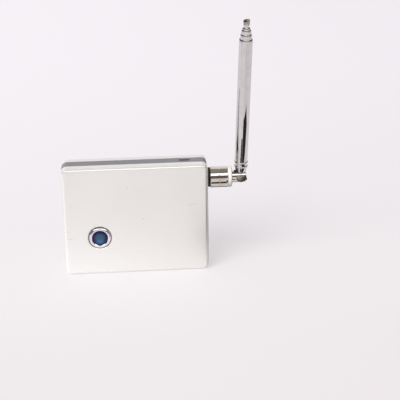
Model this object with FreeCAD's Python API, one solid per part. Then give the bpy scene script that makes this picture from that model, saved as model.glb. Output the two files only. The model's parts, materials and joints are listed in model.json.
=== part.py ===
import FreeCAD, Part
import os
from FreeCAD import Placement, Rotation, Vector

# Wireless receiver unit: a flat two-shell case with a push-button and a USB inlet, and a telescopic antenna
# that plugs on with a bayonet nut, swivels and folds. Millimetres. X runs right seen from the front, Y to
# the back, Z up. The origin is the centre of the long narrow face that the case stands on.

# ---------------------------------------------------------------- case
CASE_WIDTH = 100.0
CASE_HEIGHT = 78.5
CASE_DEPTH = 23.0
CORNER_RADIUS = 4.0
WALL = 2.0
BAND_DEPTH = 9.0            # the grey frame that shows between the two shells
LIP_THICKNESS = 1.0         # the frame's locating lips inside the shells
LIP_REACH = 1.5
SEAM_CHAMFER = 0.3
FACE_RISE = 2.1             # the face stands this far proud of the shell's rim
FACE_STEP = 0.3             # and is this much smaller all round
FACE_ROUND = 2.0
FIT_GAP = 0.05
RUNNING_GAP = 0.05
SMALLEST_RADIUS = 0.3
ROUND_SHARE = 0.45        # the most of a piece's width that one rounding may take
SPARE = 1.0                 # how far cutters run past, and fused stubs run into, what they meet

BOSS_FROM_SIDE = 8.0        # case screws, from the case's outline
BOSS_FROM_EDGE = 6.6
BOSS_RADIUS = 2.8
SCREW_BOSS_RADIUS = 3.2
BOSS_MEETING = 5.0          # where the front and back bosses meet
CASE_SCREW_RADIUS = 1.2
CASE_SCREW_BITE = 8.0
CASE_SCREW_HEAD_RADIUS = 2.2
CASE_SCREW_HEAD_HEIGHT = 1.4
CASE_SCREW_SUNK = 1.6

# ---------------------------------------------------------------- push-button
BUTTON_FROM_LEFT = 24.45
BUTTON_HEIGHT = 27.65
BUTTON_TRAVEL = 0.5
DISH_RADIUS = 10.8          # shallow dish in the face around the ring
DISH_DEPTH = 0.35
BEVEL_WIDTH = 0.6             # the bevel from the dish down to the seal
BEVEL_DEPTH = 0.45
BEZEL_RADIUS = 7.6
BEZEL_SEAT = 0.85           # the ring's flange sits this deep in the face
BEZEL_PROUD = 0.9
BEZEL_ROUND = 1.5           # its rounded shoulder
BEZEL_COUNTERSINK = 0.4     # the slope down to the cap
BEZEL_BODY_RADIUS = 6.9
BEZEL_BODY_REACH = 1.2      # past the wall's inner face
SEAL_WIDTH = 0.55           # the dark seal that shows round the ring
CAP_RADIUS = 5.2
CAP_GAP = 0.15
CAP_PROUD = 0.1
CAP_DOME = 0.35
STEM_FLANGE_RADIUS = 6.6
STEM_FLANGE = 1.0
STEM_RADIUS = 1.8

# ---------------------------------------------------------------- circuit board and what it carries
BOARD_THICKNESS = 1.2
BOARD_GAP = 0.5
STANDOFF_FROM_SIDE = 20.0
STANDOFF_FROM_EDGE = 16.0
STANDOFF_RADIUS = 2.5
BOARD_SCREW_RADIUS = 1.0
BOARD_SCREW_LENGTH = 6.0
BOARD_SCREW_HEAD_RADIUS = 2.0
BOARD_SCREW_HEAD_HEIGHT = 1.3
BOSS_CLEARANCE = 0.4

USB_FROM_RIGHT = 15.6
USB_WIDTH = 7.5
USB_DEPTH = 2.45
USB_LENGTH = 5.6
USB_SHEET = 0.3
USB_RECESS = 0.15
USB_MOUTH_GAP = 0.15
USB_TONGUE_WIDTH = 4.2
USB_TONGUE_DEPTH = 0.6
USB_TONGUE_SHORT = 1.0
USB_BASE_LENGTH = 1.4
USB_PIN_COUNT = 5
USB_PIN_PITCH = 0.65
USB_PIN_WIDTH = 0.3
USB_PIN_DEPTH = 0.15

SWITCH_WIDTH = 6.0
SWITCH_HEIGHT = 3.5
PLUNGER_RADIUS = 1.7
PLUNGER_PROUD = 1.5
PLUNGER_SUNK = 0.6
LED_SIZE = 1.6
LED_HEIGHT = 1.1

CAN_WIDTH = 24.0
CAN_HEIGHT = 20.0
CAN_DEPTH = 4.0
CAN_SHEET = 0.25
CAN_FROM_JACK = 24.0
CHIP_SIZES = ((12.0, 12.0, 1.4), (8.0, 10.0, 1.0), (5.0, 5.0, 0.9))
CHIP_SPACING = 14.0
CHIP_ROW_GAP = 1.2          # below the can
LED_FROM_SWITCH = 0.8
CAPACITOR_RADIUS = 2.6
CAPACITOR_LENGTH = 5.4
CAPACITOR_COUNT = 3
CAPACITOR_SPACING = 7.0
CAPACITOR_ROW_HEIGHT = 14.0
CRYSTAL_LENGTH = 8.0
CRYSTAL_WIDTH = 3.6
CRYSTAL_DEPTH = 2.8

BATTERY_WIDTH = 50.0
BATTERY_HEIGHT = 42.0
BATTERY_ROUND = 2.0
BATTERY_GAP = 0.8
PAD_THICKNESS = 0.5
PAD_BORDER = 4.0
TAB_WIDTH = 4.0
TAB_THICKNESS = 0.2
TAB_SPACING = 30.0
TAB_REACH = 3.0

# ---------------------------------------------------------------- bayonet jack, by stations out of the side
JACK_FROM_TOP = 13.3
JACK_BUSHING_RADIUS = 4.75
JACK_FLANGE_RADIUS = 6.2
JACK_FLANGE = 1.6
JACK_BARREL_RADIUS = 4.8
JACK_BARREL_END = 11.2
JACK_BORE_RADIUS = 4.15
JACK_BORE_START = 3.2
JACK_REAR_BORE_RADIUS = 3.0
JACK_NOSE_RADIUS = 2.4
JACK_NOSE_END = 7.5
JACK_TAIL = 4.0
COLLAR_RADIUS = 6.8
COLLAR_LENGTH = 1.8
STUD_RADIUS = 0.95
STUD_STATION = 6.4
STUD_TIP_RADIUS = 5.5
CONTACT_RADIUS = 1.1
CONTACT_BORE_RADIUS = 0.72
CONTACT_BORE_START = 4.0
CONTACT_TAIL_RADIUS = 0.7

# ---------------------------------------------------------------- antenna plug, same stations
NUT_RADIUS = 7.25
NUT_START = 1.95
NUT_LENGTH = 12.35
NUT_GROOVE_STATION = 8.4
NUT_GROOVE_WIDTH = 0.4
NUT_GROOVE_DEPTH = 0.3
NUT_EDGE = 0.3
NUT_BORE_GAP = 0.15
NUT_LIP = 1.0
NUT_CHANNEL_GAP = 0.25
NUT_CHAMBER_RADIUS = 6.1
PLUG_SLEEVE_RADIUS = 4.05
PLUG_SLEEVE_START = 3.7
PLUG_BORE_RADIUS = 3.5
PLUG_FLANGE_RADIUS = 5.9
PLUG_FLANGE = 1.1
PLUG_SHANK_RADIUS = 4.0
GASKET_THICKNESS = 0.3
SPRING_THICKNESS = 0.4
PLUG_INSULATOR_START = 7.8
PIN_RADIUS = 0.66
PIN_START = 4.4
PIN_HEAD_RADIUS = 1.1
PIN_HEAD_START = 8.0
CONTACT_DISC_THICKNESS = 0.15
SHANK_RADIUS = 2.0
SHANK_CHAMBER_RADIUS = 2.7
SHANK_CHAMBER = 1.7
CLIP_THICKNESS = 0.5
CLIP_GROOVE_RADIUS = 1.6
RING_LENGTH = 2.7           # the pale insulating ring between the nut and the elbow
RING_BEVEL = 1.5
RING_GAP = 0.1

# ---------------------------------------------------------------- elbow and mast, by heights from the pivot
ELBOW_RADIUS = 4.2
ELBOW_REACH = 6.3           # from the pale ring to the pivot
ELBOW_END_RADIUS = 4.1
ELBOW_SPOT_RADIUS = 3.6
ELBOW_THICKNESS = 7.3
SLOT_WIDTH = 3.9
SLOT_BACK = 4.6
ELBOW_PIN_RADIUS = 1.25
RIVET_HEAD_RADIUS = 3.0
RIVET_HEAD_HEIGHT = 0.45
WASHER_RADIUS = 2.8
WASHER_THICKNESS = 0.35
LEAN = 10.0                 # degrees that the mast leans to the front
TILT = 0.8                  # degrees that it has tipped on its pin from upright to the right
TONGUE_RADIUS = 3.9
TONGUE_NECK = 6.0
FOOT_BOTTOM = 4.5
FOOT_BOTTOM_RADIUS = 3.8
FOOT_CONE_TOP = 7.2
FOOT_WAIST_RADIUS = 4.15
FOOT_TOP = 12.6
FOOT_SPIGOT = 3.8
BEAD_HEIGHTS = (8.6, 11.9)
BEAD_RADIUS = 0.65
SECTION_RADII = (4.5, 3.8, 3.25, 2.7)
SECTION_RIMS = (102.6, 105.9, 108.9, 110.5)
SECTION_WALL = 0.4
SECTION_STAGGER = 3.0
FIRST_INNER_BOTTOM = 17.0
RIM_DEPTH = 1.0
RIM_DRAW = 0.15             # how far the rim is drawn in before it rolls over
RIM_ROUND = 0.3
GUIDE_LENGTH = 4.0
TIP_ROD_RADIUS = 1.6
TIP_CAP_BOTTOM = 112.0
TIP_CAP_HEIGHT = 3.7
TIP_CAP_RADIUS = 2.15
TIP_CAP_SLANT = 14.0        # degrees that the cap's end is cut down to the left
TIP_CAP_SOCKET = 1.1

# ---------------------------------------------------------------- places worked out from the dimensions
FRONT = -CASE_DEPTH / 2
BACK = CASE_DEPTH / 2
INNER_FRONT = FRONT + WALL
INNER_BACK = BACK - WALL
BAND_BACK = BAND_DEPTH / 2
SIDE = CASE_WIDTH / 2
FRAME_INSET = WALL + FIT_GAP + LIP_THICKNESS
BUTTON_X = -SIDE + BUTTON_FROM_LEFT
USB_X = SIDE - USB_FROM_RIGHT
JACK_Z = CASE_HEIGHT - JACK_FROM_TOP
BOARD_FRONT = USB_DEPTH / 2
BOARD_BACK = BOARD_FRONT + BOARD_THICKNESS
JACK_FLANGE_BACK = -(FRAME_INSET + JACK_FLANGE)
JACK_TAIL_END = JACK_FLANGE_BACK - JACK_TAIL
NUT_END = NUT_START + NUT_LENGTH
SPRING_END = NUT_END - NUT_LIP
PLUG_FLANGE_START = JACK_BARREL_END + GASKET_THICKNESS
PLUG_FLANGE_END = PLUG_FLANGE_START + PLUG_FLANGE
RING_START = NUT_END + RING_GAP
RING_END = RING_START + RING_LENGTH
CHAMBER_END = RING_START - (NUT_END - PLUG_FLANGE_END)
CHAMBER_START = CHAMBER_END - SHANK_CHAMBER
SHANK_START = CHAMBER_START + CONTACT_DISC_THICKNESS + RUNNING_GAP
PIVOT = RING_END + RUNNING_GAP + ELBOW_REACH
TONGUE_THICKNESS = SLOT_WIDTH - 2 * WASHER_THICKNESS - 4 * RUNNING_GAP
BEZEL_FRONT = FRONT - BEZEL_PROUD
BEZEL_SHOULDER = FRONT + BEZEL_SEAT
SEAL_RADIUS = BEZEL_RADIUS + SEAL_WIDTH
CAP_FACE = BEZEL_FRONT - CAP_PROUD
BEZEL_BACK = INNER_FRONT + BEZEL_BODY_REACH
STEM_FLANGE_FRONT = BEZEL_BACK + RUNNING_GAP
SWITCH_FRONT = BOARD_FRONT - SWITCH_HEIGHT
PLUNGER_FRONT = SWITCH_FRONT - PLUNGER_PROUD

TURN_TO_X = Rotation(Vector(0, 1, 0), 90)
TURN_TO_Y = Rotation(Vector(1, 0, 0), -90)
CONNECTOR = Placement(Vector(SIDE, 0, JACK_Z), TURN_TO_X)
BUTTON = Placement(Vector(BUTTON_X, 0, BUTTON_HEIGHT), TURN_TO_Y)
ARM = Placement(Vector(SIDE + PIVOT, 0, JACK_Z), Rotation(Vector(1, 0, 0), LEAN))
ARM_X = ARM * Placement(Vector(), TURN_TO_X)
PIN = ARM * Placement(Vector(), TURN_TO_Y)
MAST = ARM * Placement(Vector(), Rotation(Vector(0, 1, 0), TILT))


# ---------------------------------------------------------------- basic shapes
def turned(outline, place):
    """A solid turned about the place's Z axis from (height, radius) points."""
    points = [Vector(radius, 0, height) for height, radius in outline]
    face = Part.Face(Part.makePolygon(points + points[:1]))
    solid = face.revolve(Vector(), Vector(0, 0, 1), 360)
    solid.Placement = place
    return solid


def rod(start, end, radius, place):
    """A round bar along the place's Z axis."""
    return turned([(start, 0), (end, 0), (end, radius), (start, radius)], place)


def tube(start, end, inner, outer, place):
    """A round tube along the place's Z axis."""
    return turned([(start, inner), (end, inner), (end, outer), (start, outer)], place)


def block(x, y, z):
    """A box from (low, high) pairs."""
    return Part.makeBox(x[1] - x[0], y[1] - y[0], z[1] - z[0], Vector(x[0], y[0], z[0]))


def centred(x, z, width, height, y):
    """A box round a point of the board, between two depths."""
    return block((x - width / 2, x + width / 2), y, (z - height / 2, z + height / 2))


def at(x, z):
    """The place of something round that runs from front to back."""
    return Placement(Vector(x, 0, z), TURN_TO_Y)


def joined(shapes):
    """One solid from overlapping shapes."""
    return shapes[0].multiFuse(shapes[1:]).removeSplitter()


def edges_along(shape, direction):
    """The straight edges of a plain block that run one way."""
    return [edge for edge in shape.Edges if abs(edge.tangentAt(edge.FirstParameter).dot(direction)) > 0.5]


def case_prism(inset, front, back):
    """The case's rounded outline, moved inwards by inset, between two depths."""
    body = block((-SIDE + inset, SIDE - inset), (front, back), (inset, CASE_HEIGHT - inset))
    radius = max(CORNER_RADIUS - inset, SMALLEST_RADIUS)
    return body.makeFillet(radius, edges_along(body, Vector(0, 1, 0)))


def edges_at(shape, depth):
    """The edges that lie in one plane across the case's depth."""
    return [edge for edge in shape.Edges if all(abs(v.Y - depth) < 1e-6 for v in edge.Vertexes)]


def boss_places():
    """Where the case screws run."""
    side = SIDE - BOSS_FROM_SIDE
    return [at(x, z) for x in (-side, side) for z in (BOSS_FROM_EDGE, CASE_HEIGHT - BOSS_FROM_EDGE)]


def standoff_places():
    """Where the board screws run."""
    side = SIDE - STANDOFF_FROM_SIDE
    return [at(x, z) for x in (-side, side) for z in (STANDOFF_FROM_EDGE, CASE_HEIGHT - STANDOFF_FROM_EDGE)]


# ---------------------------------------------------------------- case
def jack_hole():
    """The room the antenna jack's bushing takes in the case's side."""
    return rod(-FRAME_INSET - SPARE, SPARE, JACK_BUSHING_RADIUS + FIT_GAP, CONNECTOR)


def shell():
    """A plain front shell: a rim, a slightly smaller rounded face and the hollow behind them."""
    rim_front = FRONT + FACE_RISE
    rim = case_prism(0, rim_front, -BAND_BACK)
    rim = rim.makeChamfer(SEAM_CHAMFER, edges_at(rim, -BAND_BACK))
    face = case_prism(FACE_STEP, FRONT, -BAND_BACK - SEAM_CHAMFER)
    face = face.makeFillet(FACE_ROUND, edges_at(face, FRONT))
    hollow = case_prism(WALL, INNER_FRONT, -BAND_BACK + SPARE)
    return rim.fuse(face).cut(hollow)


def front_cover():
    """The front shell with screw bosses, board standoffs and the seat of the button's ring."""
    cover = shell()
    for place in boss_places():
        cover = cover.fuse(rod(INNER_FRONT - WALL / 2, BOSS_MEETING - FIT_GAP, BOSS_RADIUS, place))
    for place in standoff_places():
        cover = cover.fuse(rod(INNER_FRONT - WALL / 2, BOARD_FRONT, STANDOFF_RADIUS, place))
    for place in boss_places():
        cover = cover.cut(rod(BOSS_MEETING - CASE_SCREW_BITE, BOSS_MEETING, CASE_SCREW_RADIUS, place))
    for place in standoff_places():
        bite = BOARD_SCREW_LENGTH - BOARD_THICKNESS
        cover = cover.cut(rod(BOARD_FRONT - bite, BOARD_FRONT + SPARE, BOARD_SCREW_RADIUS, place))
    ball = (DISH_RADIUS ** 2 + DISH_DEPTH ** 2) / (2 * DISH_DEPTH)
    dish = Part.makeSphere(ball, Vector(BUTTON_X, FRONT + DISH_DEPTH - ball, BUTTON_HEIGHT))
    bevel = Part.makeCone(SEAL_RADIUS + BEVEL_WIDTH, SEAL_RADIUS, BEVEL_DEPTH)
    bevel.Placement = BUTTON * Placement(Vector(0, 0, FRONT), Rotation())
    cover = cover.cut(dish).cut(bevel)
    cover = cover.cut(rod(FRONT - SPARE, BEZEL_SHOULDER, SEAL_RADIUS, BUTTON))
    cover = cover.cut(rod(FRONT, BEZEL_BACK, BEZEL_BODY_RADIUS + FIT_GAP, BUTTON))
    return cover.cut(jack_hole())


def back_cover():
    """The back shell with counterbored bosses for the case screws."""
    cover = shell().mirror(Vector(), Vector(0, 1, 0))
    head_seat = BACK - CASE_SCREW_SUNK - CASE_SCREW_HEAD_HEIGHT
    for place in boss_places():
        cover = cover.fuse(rod(BOSS_MEETING, INNER_BACK + WALL / 2, SCREW_BOSS_RADIUS, place))
    for place in boss_places():
        cover = cover.cut(rod(head_seat, BACK + SPARE, CASE_SCREW_HEAD_RADIUS + FIT_GAP, place))
        cover = cover.cut(rod(BOSS_MEETING - SPARE, BACK, CASE_SCREW_RADIUS + FIT_GAP, place))
    return cover.cut(jack_hole())


def middle_frame():
    """The grey band, with thinner lips that locate both shells."""
    band = case_prism(0, -BAND_BACK, BAND_BACK)
    band = band.makeChamfer(SEAM_CHAMFER, edges_at(band, -BAND_BACK) + edges_at(band, BAND_BACK))
    reach = BAND_BACK + LIP_REACH
    lips = case_prism(WALL + FIT_GAP, -reach, reach)
    frame = band.fuse(lips).cut(case_prism(FRAME_INSET, -reach - SPARE, reach + SPARE))
    mouth_width = USB_WIDTH + 2 * USB_MOUTH_GAP
    mouth_depth = USB_DEPTH / 2 + USB_MOUTH_GAP
    mouth_bottom = CASE_HEIGHT - FRAME_INSET - SPARE
    mouth = block(
        (USB_X - mouth_width / 2, USB_X + mouth_width / 2),
        (-mouth_depth, mouth_depth),
        (mouth_bottom, CASE_HEIGHT + SPARE),
    )
    return frame.cut(mouth).cut(jack_hole())


def case_screws():
    """Four screws, put in from the back."""
    seat = BACK - CASE_SCREW_SUNK - CASE_SCREW_HEAD_HEIGHT
    tip = BOSS_MEETING - CASE_SCREW_BITE + SPARE
    outline = [
        (tip, 0),
        (seat + CASE_SCREW_HEAD_HEIGHT / 2, 0),
        (seat + CASE_SCREW_HEAD_HEIGHT, CASE_SCREW_RADIUS / 2),
        (seat + CASE_SCREW_HEAD_HEIGHT, CASE_SCREW_HEAD_RADIUS),
        (seat, CASE_SCREW_HEAD_RADIUS),
        (seat, CASE_SCREW_RADIUS),
        (tip, CASE_SCREW_RADIUS),
    ]
    return Part.makeCompound([turned(outline, place) for place in boss_places()])


# ---------------------------------------------------------------- push-button
def button_bezel():
    """A ring with a rounded shoulder and a countersunk mouth, clamped through the front wall."""
    bore = CAP_RADIUS + CAP_GAP
    outline = [
        (BEZEL_FRONT, BEZEL_RADIUS),
        (BEZEL_FRONT, bore + BEZEL_COUNTERSINK),
        (BEZEL_FRONT + BEZEL_COUNTERSINK, bore),
        (BEZEL_BACK, bore),
        (BEZEL_BACK, BEZEL_BODY_RADIUS),
        (BEZEL_SHOULDER, BEZEL_BODY_RADIUS),
        (BEZEL_SHOULDER, BEZEL_RADIUS),
    ]
    ring = turned(outline, BUTTON)
    outer = [edge for edge in edges_at(ring, BEZEL_FRONT) if edge.BoundBox.XLength > 2 * BEZEL_BODY_RADIUS]
    return ring.makeFillet(BEZEL_ROUND, outer)


def button_seal():
    """The soft seal round the ring's flange, at the foot of the bevel in the face."""
    return tube(FRONT + BEVEL_DEPTH, BEZEL_SHOULDER, BEZEL_RADIUS, SEAL_RADIUS, BUTTON)


def button_cap():
    """The blue cap, domed like a lens."""
    ball = (CAP_RADIUS ** 2 + CAP_DOME ** 2) / (2 * CAP_DOME)
    body = rod(CAP_FACE, STEM_FLANGE_FRONT, CAP_RADIUS, BUTTON)
    return body.common(Part.makeSphere(ball, Vector(BUTTON_X, CAP_FACE + ball, BUTTON_HEIGHT)))


def button_stem():
    """The light guide: a flange that stops the cap behind the ring, and a stem to the switch."""
    flange_back = STEM_FLANGE_FRONT + STEM_FLANGE
    outline = [
        (STEM_FLANGE_FRONT, 0),
        (PLUNGER_FRONT, 0),
        (PLUNGER_FRONT, STEM_RADIUS),
        (flange_back, STEM_RADIUS),
        (flange_back, STEM_FLANGE_RADIUS),
        (STEM_FLANGE_FRONT, STEM_FLANGE_RADIUS),
    ]
    return turned(outline, BUTTON)


def switch_plunger():
    """The switch's own plunger, which the stem pushes."""
    return rod(PLUNGER_FRONT, SWITCH_FRONT + PLUNGER_SUNK, PLUNGER_RADIUS, BUTTON)


def switch_housing():
    """The switch's square body, bored for the plunger's travel."""
    body = centred(BUTTON_X, BUTTON_HEIGHT, SWITCH_WIDTH, SWITCH_WIDTH, (SWITCH_FRONT, BOARD_FRONT))
    depth = PLUNGER_SUNK + BUTTON_TRAVEL + RUNNING_GAP
    return body.cut(rod(SWITCH_FRONT - SPARE, SWITCH_FRONT + depth, PLUNGER_RADIUS + RUNNING_GAP, BUTTON))


def status_led():
    """The lamp that lights the cap, on the outer side of the switch."""
    x = BUTTON_X - (SWITCH_WIDTH + LED_SIZE) / 2 - LED_FROM_SWITCH
    return centred(x, BUTTON_HEIGHT, LED_SIZE, LED_SIZE, (BOARD_FRONT - LED_HEIGHT, BOARD_FRONT))


# ---------------------------------------------------------------- electronics
def main_board():
    """The circuit board, notched round the screw bosses and kept clear of the jack's flange."""
    left = -SIDE + FRAME_INSET + BOARD_GAP
    right = SIDE + JACK_FLANGE_BACK - BOARD_GAP
    low = FRAME_INSET + BOARD_GAP
    board = block((left, right), (BOARD_FRONT, BOARD_BACK), (low, CASE_HEIGHT - low))
    notch = 2 * (BOSS_FROM_SIDE + BOSS_RADIUS + BOSS_CLEARANCE)
    notch_height = 2 * (BOSS_FROM_EDGE + BOSS_RADIUS + BOSS_CLEARANCE)
    for x in (-SIDE, SIDE):
        for z in (0, CASE_HEIGHT):
            board = board.cut(centred(x, z, notch, notch_height, (BOARD_FRONT - SPARE, BOARD_BACK + SPARE)))
    for place in standoff_places():
        board = board.cut(rod(BOARD_FRONT - SPARE, BOARD_BACK + SPARE, BOARD_SCREW_RADIUS + FIT_GAP, place))
    return board


def board_screws():
    """Four screws that hold the board on the front shell's standoffs."""
    screws = []
    for place in standoff_places():
        tip = BOARD_BACK + SPARE - BOARD_SCREW_LENGTH
        shaft = rod(tip, BOARD_BACK + SPARE, BOARD_SCREW_RADIUS, place)
        head = rod(BOARD_BACK, BOARD_BACK + BOARD_SCREW_HEAD_HEIGHT, BOARD_SCREW_HEAD_RADIUS, place)
        screws.append(joined([shaft, head]))
    return Part.makeCompound(screws)


def shield_can():
    """The sheet-metal can over the radio stage, beside the jack."""
    x = SIDE - CAN_FROM_JACK - CAN_WIDTH / 2
    z = JACK_Z - CAN_HEIGHT / 2
    front = BOARD_FRONT - CAN_DEPTH
    can = centred(x, z, CAN_WIDTH, CAN_HEIGHT, (front, BOARD_FRONT))
    inner_width = CAN_WIDTH - 2 * CAN_SHEET
    inner_height = CAN_HEIGHT - 2 * CAN_SHEET
    return can.cut(centred(x, z, inner_width, inner_height, (front + CAN_SHEET, BOARD_FRONT + SPARE)))


def radio_chips():
    """The processor, the memory and the converter, in a row under the can."""
    chips = []
    row_top = JACK_Z - CAN_HEIGHT - CHIP_ROW_GAP
    for index, (width, height, depth) in enumerate(CHIP_SIZES):
        x = (index - 1) * CHIP_SPACING
        chips.append(centred(x, row_top - height / 2, width, height, (BOARD_FRONT - depth, BOARD_FRONT)))
    return Part.makeCompound(chips)


def capacitors():
    """A row of cans along the board's bottom."""
    row = []
    for index in range(CAPACITOR_COUNT):
        place = at((index - 1) * CAPACITOR_SPACING, CAPACITOR_ROW_HEIGHT)
        row.append(rod(BOARD_FRONT - CAPACITOR_LENGTH, BOARD_FRONT, CAPACITOR_RADIUS, place))
    return Part.makeCompound(row)


def crystal_can():
    """The clock crystal's metal can, lying on the board left of the shield."""
    z = JACK_Z - USB_LENGTH - CRYSTAL_WIDTH
    depths = (BOARD_FRONT - CRYSTAL_DEPTH, BOARD_FRONT)
    body = centred(-CHIP_SPACING, z, CRYSTAL_LENGTH, CRYSTAL_WIDTH, depths)
    return body.makeFillet(ROUND_SHARE * CRYSTAL_WIDTH, edges_along(body, Vector(0, 1, 0)))


def usb_shell():
    """The inlet's folded sheet shell, open at the top of the case."""
    top = CASE_HEIGHT - USB_RECESS
    z = top - USB_LENGTH / 2
    half = USB_DEPTH / 2
    body = centred(USB_X, z, USB_WIDTH, USB_LENGTH, (-half, half))
    inner_width = USB_WIDTH - 2 * USB_SHEET
    inner = half - USB_SHEET
    inner_z = z + USB_SHEET + SPARE
    return body.cut(centred(USB_X, inner_z, inner_width, USB_LENGTH + 2 * SPARE, (-inner, inner)))


def usb_tongue():
    """The inlet's moulded base and the tongue that carries the contacts."""
    top = CASE_HEIGHT - USB_RECESS
    bottom = top - USB_LENGTH + USB_SHEET
    half = USB_DEPTH / 2 - USB_SHEET
    inner_width = USB_WIDTH - 2 * USB_SHEET
    base = block(
        (USB_X - inner_width / 2, USB_X + inner_width / 2),
        (-half, half),
        (bottom, bottom + USB_BASE_LENGTH),
    )
    tongue = block(
        (USB_X - USB_TONGUE_WIDTH / 2, USB_X + USB_TONGUE_WIDTH / 2),
        (-USB_TONGUE_DEPTH / 2, USB_TONGUE_DEPTH / 2),
        (bottom, top - USB_TONGUE_SHORT),
    )
    return joined([base, tongue])


def usb_contacts():
    """Flat contacts on the tongue's front."""
    bottom = CASE_HEIGHT - USB_RECESS - USB_LENGTH + USB_SHEET + USB_BASE_LENGTH
    top = CASE_HEIGHT - USB_RECESS - USB_TONGUE_SHORT - USB_SHEET
    front = -USB_TONGUE_DEPTH / 2
    pins = []
    for index in range(USB_PIN_COUNT):
        x = USB_X + (index - (USB_PIN_COUNT - 1) / 2) * USB_PIN_PITCH
        half = USB_PIN_WIDTH / 2
        pins.append(block((x - half, x + half), (front - USB_PIN_DEPTH, front), (bottom, top)))
    return Part.makeCompound(pins)


def battery_box():
    """The battery's middle height, front and back: it fills the depth left behind the board."""
    z = CASE_HEIGHT / 2
    front = BOARD_BACK + BATTERY_GAP
    return z, front, INNER_BACK - PAD_THICKNESS


def battery():
    """The flat rechargeable cell behind the board."""
    z, front, back = battery_box()
    body = centred(0, z, BATTERY_WIDTH, BATTERY_HEIGHT, (front, back))
    radius = min(BATTERY_ROUND, ROUND_SHARE * (back - front))
    return body.makeFillet(radius, edges_along(body, Vector(0, 0, 1)))


def battery_pad():
    """The sticky foam between the cell and the back shell."""
    z, _, back = battery_box()
    width = BATTERY_WIDTH - 2 * PAD_BORDER
    height = BATTERY_HEIGHT - 2 * PAD_BORDER
    return centred(0, z, width, height, (back, INNER_BACK))


def battery_tabs():
    """Two bent strips from the cell's top edge to the board."""
    z, front, _ = battery_box()
    top = z + BATTERY_HEIGHT / 2
    tabs = []
    for x in (-TAB_SPACING / 2, TAB_SPACING / 2):
        sides = (x - TAB_WIDTH / 2, x + TAB_WIDTH / 2)
        riser_back = front + BATTERY_ROUND
        riser = block(sides, (BOARD_BACK, riser_back), (top, top + TAB_THICKNESS))
        foot = block(sides, (BOARD_BACK, BOARD_BACK + TAB_THICKNESS), (top, top + TAB_REACH))
        tabs.append(joined([riser, foot]))
    return Part.makeCompound(tabs)


# ---------------------------------------------------------------- bayonet jack
def jack_body():
    """A hexagon-backed bushing through the case's side, its barrel and two bayonet studs."""
    outline = [
        (JACK_FLANGE_BACK, JACK_REAR_BORE_RADIUS),
        (JACK_BORE_START, JACK_REAR_BORE_RADIUS),
        (JACK_BORE_START, JACK_BORE_RADIUS),
        (JACK_BARREL_END, JACK_BORE_RADIUS),
        (JACK_BARREL_END, JACK_BARREL_RADIUS),
        (COLLAR_LENGTH, JACK_BARREL_RADIUS),
        (COLLAR_LENGTH, JACK_BUSHING_RADIUS),
        (-FRAME_INSET, JACK_BUSHING_RADIUS),
        (-FRAME_INSET, JACK_FLANGE_RADIUS),
        (JACK_FLANGE_BACK, JACK_FLANGE_RADIUS),
    ]
    barrel = turned(outline, CONNECTOR)
    across = Placement(Vector(SIDE + STUD_STATION, 0, JACK_Z), Rotation())
    studs = rod(-STUD_TIP_RADIUS, STUD_TIP_RADIUS, STUD_RADIUS, across)
    studs = studs.cut(rod(0, JACK_BARREL_END, (JACK_BORE_RADIUS + JACK_BARREL_RADIUS) / 2, CONNECTOR))
    return barrel.fuse(studs)


def jack_collar():
    """The black collar that clamps the jack against the case's side."""
    edge = NUT_EDGE
    outline = [
        (0, JACK_BUSHING_RADIUS),
        (COLLAR_LENGTH, JACK_BUSHING_RADIUS),
        (COLLAR_LENGTH, COLLAR_RADIUS - edge),
        (COLLAR_LENGTH - edge, COLLAR_RADIUS),
        (0, COLLAR_RADIUS),
    ]
    return turned(outline, CONNECTOR)


def jack_insulator():
    """The white insulator: a rear sleeve and a nose round the centre contact."""
    contact_start = CONTACT_BORE_START - CONTACT_RADIUS
    outline = [
        (JACK_FLANGE_BACK, CONTACT_TAIL_RADIUS),
        (contact_start, CONTACT_TAIL_RADIUS),
        (contact_start, CONTACT_RADIUS),
        (JACK_NOSE_END, CONTACT_RADIUS),
        (JACK_NOSE_END, JACK_NOSE_RADIUS),
        (JACK_BORE_START, JACK_NOSE_RADIUS),
        (JACK_BORE_START, JACK_REAR_BORE_RADIUS),
        (JACK_FLANGE_BACK, JACK_REAR_BORE_RADIUS),
    ]
    return turned(outline, CONNECTOR)


def jack_contact():
    """The centre contact: a socket for the antenna's pin and a tail that reaches the board."""
    start = CONTACT_BORE_START - CONTACT_RADIUS
    outline = [
        (JACK_TAIL_END, 0),
        (CONTACT_BORE_START, 0),
        (CONTACT_BORE_START, CONTACT_BORE_RADIUS),
        (JACK_NOSE_END, CONTACT_BORE_RADIUS),
        (JACK_NOSE_END, CONTACT_RADIUS),
        (start, CONTACT_RADIUS),
        (start, CONTACT_TAIL_RADIUS),
        (JACK_TAIL_END, CONTACT_TAIL_RADIUS),
    ]
    lug = block(
        (SIDE + JACK_TAIL_END, SIDE + JACK_TAIL_END + 2 * CONTACT_TAIL_RADIUS),
        (0, BOARD_FRONT),
        (JACK_Z - CONTACT_TAIL_RADIUS, JACK_Z + CONTACT_TAIL_RADIUS),
    )
    return joined([turned(outline, CONNECTOR), lug])


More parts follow.
